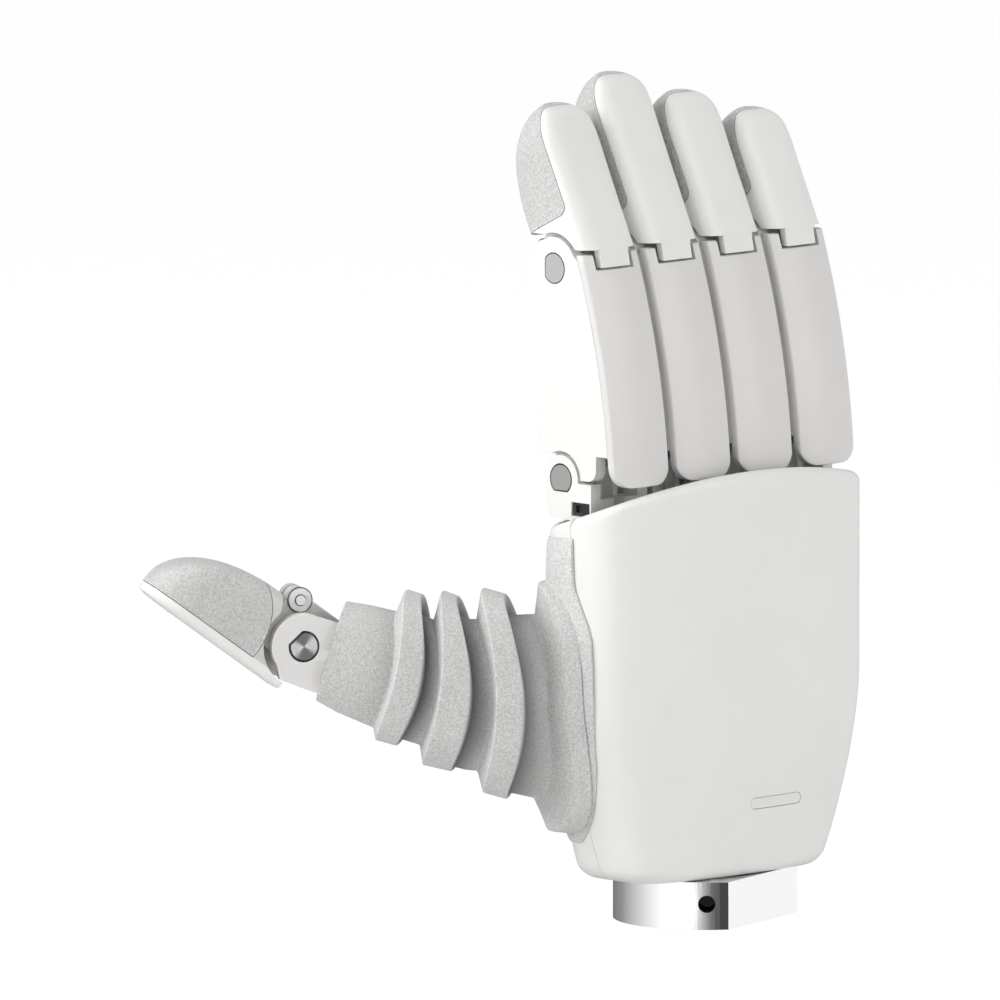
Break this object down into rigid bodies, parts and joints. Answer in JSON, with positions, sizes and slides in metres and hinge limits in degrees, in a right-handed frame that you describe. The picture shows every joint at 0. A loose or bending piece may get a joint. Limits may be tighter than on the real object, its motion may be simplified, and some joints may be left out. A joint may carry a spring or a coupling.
{
  "type": "robot end effector",
  "caption": "Dexterous robot hand, right, with rod-coupled bending fingers, an opposing thumb in a ribbed boot and a round wrist flange.",
  "frame": {"origin": "centre of the wrist flange's mounting face", "axes": "+Z towards the fingertips, -Y out of the back of the hand, +Y out of the palm, -X to the thumb's side, +X to the little finger's side"},
  "size_m": [0.164, 0.0787, 0.1893],
  "materials": {
    "polished_steel": "polished",
    "screw_steel": "satin",
    "frame_aluminium": "satin",
    "white_satin_plastic": "satin",
    "light_satin_cover": "satin",
    "grey_elastomer": "fine grain, matte",
    "lens_plastic": "satin",
    "circuit_board": "satin",
    "motor_steel": "brushed",
    "dark_socket_plastic": "matte",
    "grey_pin_steel": "satin",
    "turned_steel": "turned",
    "link_steel": "satin",
    "light_grey_plastic": "smooth, satin"
  },
  "bodies": {
    "palm": {"wrist_flange": "polished_steel", "flange_screws": "screw_steel", "palm_frame": "frame_aluminium", "back_cover": "white_satin_plastic", "palm_cover": "white_satin_plastic", "palm_pad": "grey_elastomer", "status_lens": "lens_plastic", "cover_screws": "screw_steel", "control_board": "circuit_board", "index_motor": "motor_steel", "middle_motor": "motor_steel", "ring_motor": "motor_steel", "little_motor": "motor_steel", "thumb_motor": "motor_steel", "service_port": "dark_socket_plastic", "knuckle_pins": "grey_pin_steel", "index_knuckle": "white_satin_plastic", "middle_knuckle": "white_satin_plastic", "ring_knuckle": "white_satin_plastic", "little_knuckle": "white_satin_plastic", "thumb_skin": "grey_elastomer", "thumb_boot_base": "grey_elastomer"},
    "index_proximal": {"index_link": "white_satin_plastic", "index_back": "light_satin_cover", "index_pin": "grey_pin_steel"},
    "index_distal": {"index_tip": "white_satin_plastic", "index_pad": "grey_elastomer", "index_crank": "link_steel"},
    "index_rod": {"index_coupler": "link_steel"},
    "middle_proximal": {"middle_link": "white_satin_plastic", "middle_back": "light_satin_cover", "middle_pin": "grey_pin_steel"},
    "middle_distal": {"middle_tip": "white_satin_plastic", "middle_pad": "grey_elastomer", "middle_crank": "link_steel"},
    "middle_rod": {"middle_coupler": "link_steel"},
    "ring_proximal": {"ring_link": "white_satin_plastic", "ring_back": "light_satin_cover", "ring_pin": "grey_pin_steel"},
    "ring_distal": {"ring_tip": "white_satin_plastic", "ring_pad": "grey_elastomer", "ring_crank": "link_steel"},
    "ring_rod": {"ring_coupler": "link_steel"},
    "little_proximal": {"little_link": "white_satin_plastic", "little_back": "light_satin_cover", "little_pin": "grey_pin_steel"},
    "little_distal": {"little_tip": "white_satin_plastic", "little_pad": "grey_elastomer", "little_crank": "link_steel"},
    "little_rod": {"little_coupler": "link_steel"},
    "thumb_base": {"thumb_carrier": "light_grey_plastic", "thumb_pivots": "link_steel"},
    "thumb_proximal": {"thumb_link": "light_grey_plastic", "thumb_pin": "turned_steel", "thumb_boot": "grey_elastomer"},
    "thumb_distal": {"thumb_tip": "white_satin_plastic", "thumb_pad": "grey_elastomer", "thumb_crank": "link_steel"},
    "thumb_rod": {"thumb_coupler": "link_steel"}
  },
  "joints": [
    {"name": "index_bend", "type": "hinge", "parent": "palm", "child": "index_proximal", "pos_m": [-0.02895, 0.0084, 0.1013], "axis": [-1, 0, 0], "range_deg": [0, 80]},
    {"name": "index_tip_bend", "type": "hinge", "parent": "index_proximal", "child": "index_distal", "pos_m": [-0.02895, 0.0107, 0.1484], "axis": [-1, 0, 0], "range_deg": [0, 64]},
    {"name": "index_rod_swing", "type": "hinge", "parent": "index_distal", "child": "index_rod", "pos_m": [-0.02895, 0.0182, 0.1512], "axis": [-1, 0, 0], "range_deg": [-62, 0]},
    {"name": "middle_bend", "type": "hinge", "parent": "palm", "child": "middle_proximal", "pos_m": [-0.00965, 0.0084, 0.1013], "axis": [-1, 0, 0], "range_deg": [0, 80]},
    {"name": "middle_tip_bend", "type": "hinge", "parent": "middle_proximal", "child": "middle_distal", "pos_m": [-0.00965, 0.0107, 0.1484], "axis": [-1, 0, 0], "range_deg": [0, 64]},
    {"name": "middle_rod_swing", "type": "hinge", "parent": "middle_distal", "child": "middle_rod", "pos_m": [-0.00965, 0.0182, 0.1512], "axis": [-1, 0, 0], "range_deg": [-62, 0]},
    {"name": "ring_bend", "type": "hinge", "parent": "palm", "child": "ring_proximal", "pos_m": [0.00965, 0.0084, 0.1013], "axis": [-1, 0, 0], "range_deg": [0, 80]},
    {"name": "ring_tip_bend", "type": "hinge", "parent": "ring_proximal", "child": "ring_distal", "pos_m": [0.00965, 0.0107, 0.1484], "axis": [-1, 0, 0], "range_deg": [0, 64]},
    {"name": "ring_rod_swing", "type": "hinge", "parent": "ring_distal", "child": "ring_rod", "pos_m": [0.00965, 0.0182, 0.1512], "axis": [-1, 0, 0], "range_deg": [-62, 0]},
    {"name": "little_bend", "type": "hinge", "parent": "palm", "child": "little_proximal", "pos_m": [0.02895, 0.0084, 0.1013], "axis": [-1, 0, 0], "range_deg": [0, 80]},
    {"name": "little_tip_bend", "type": "hinge", "parent": "little_proximal", "child": "little_distal", "pos_m": [0.02895, 0.0107, 0.1484], "axis": [-1, 0, 0], "range_deg": [0, 64]},
    {"name": "little_rod_swing", "type": "hinge", "parent": "little_distal", "child": "little_rod", "pos_m": [0.02895, 0.0182, 0.1512], "axis": [-1, 0, 0], "range_deg": [-62, 0]},
    {"name": "thumb_swing", "type": "hinge", "parent": "palm", "child": "thumb_base", "pos_m": [-0.031, 0.006, 0.0543], "axis": [0, 0, 1], "range_deg": [-50, 12], "deforming": ["thumb_boot_base"]},
    {"name": "thumb_bend", "type": "hinge", "parent": "thumb_base", "child": "thumb_proximal", "pos_m": [-0.0558, 0.0198, 0.0543], "axis": [-0.4848, -0.8746, 0], "range_deg": [-40, 5], "deforming": ["thumb_boot"]},
    {"name": "thumb_tip_bend", "type": "hinge", "parent": "thumb_proximal", "child": "thumb_distal", "pos_m": [-0.0906, 0.03909, 0.06677], "axis": [-0.4848, -0.8746, 0], "range_deg": [-32, 4]},
    {"name": "thumb_rod_swing", "type": "hinge", "parent": "thumb_distal", "child": "thumb_rod", "pos_m": [-0.09037, 0.03896, 0.07664], "axis": [-0.4848, -0.8746, 0], "range_deg": [-3.4, 27.1]}
  ],
  "couplings": [
    {"joint": "index_tip_bend", "follows": "index_bend", "ratio": 0.8},
    {"joint": "index_rod_swing", "follows": "index_bend", "ratio": -0.771},
    {"joint": "middle_tip_bend", "follows": "middle_bend", "ratio": 0.8},
    {"joint": "middle_rod_swing", "follows": "middle_bend", "ratio": -0.771},
    {"joint": "ring_tip_bend", "follows": "ring_bend", "ratio": 0.8},
    {"joint": "ring_rod_swing", "follows": "ring_bend", "ratio": -0.771},
    {"joint": "little_tip_bend", "follows": "little_bend", "ratio": 0.8},
    {"joint": "little_rod_swing", "follows": "little_bend", "ratio": -0.771},
    {"joint": "thumb_tip_bend", "follows": "thumb_bend", "ratio": 0.8},
    {"joint": "thumb_rod_swing", "follows": "thumb_bend", "ratio": -0.676}
  ]
}
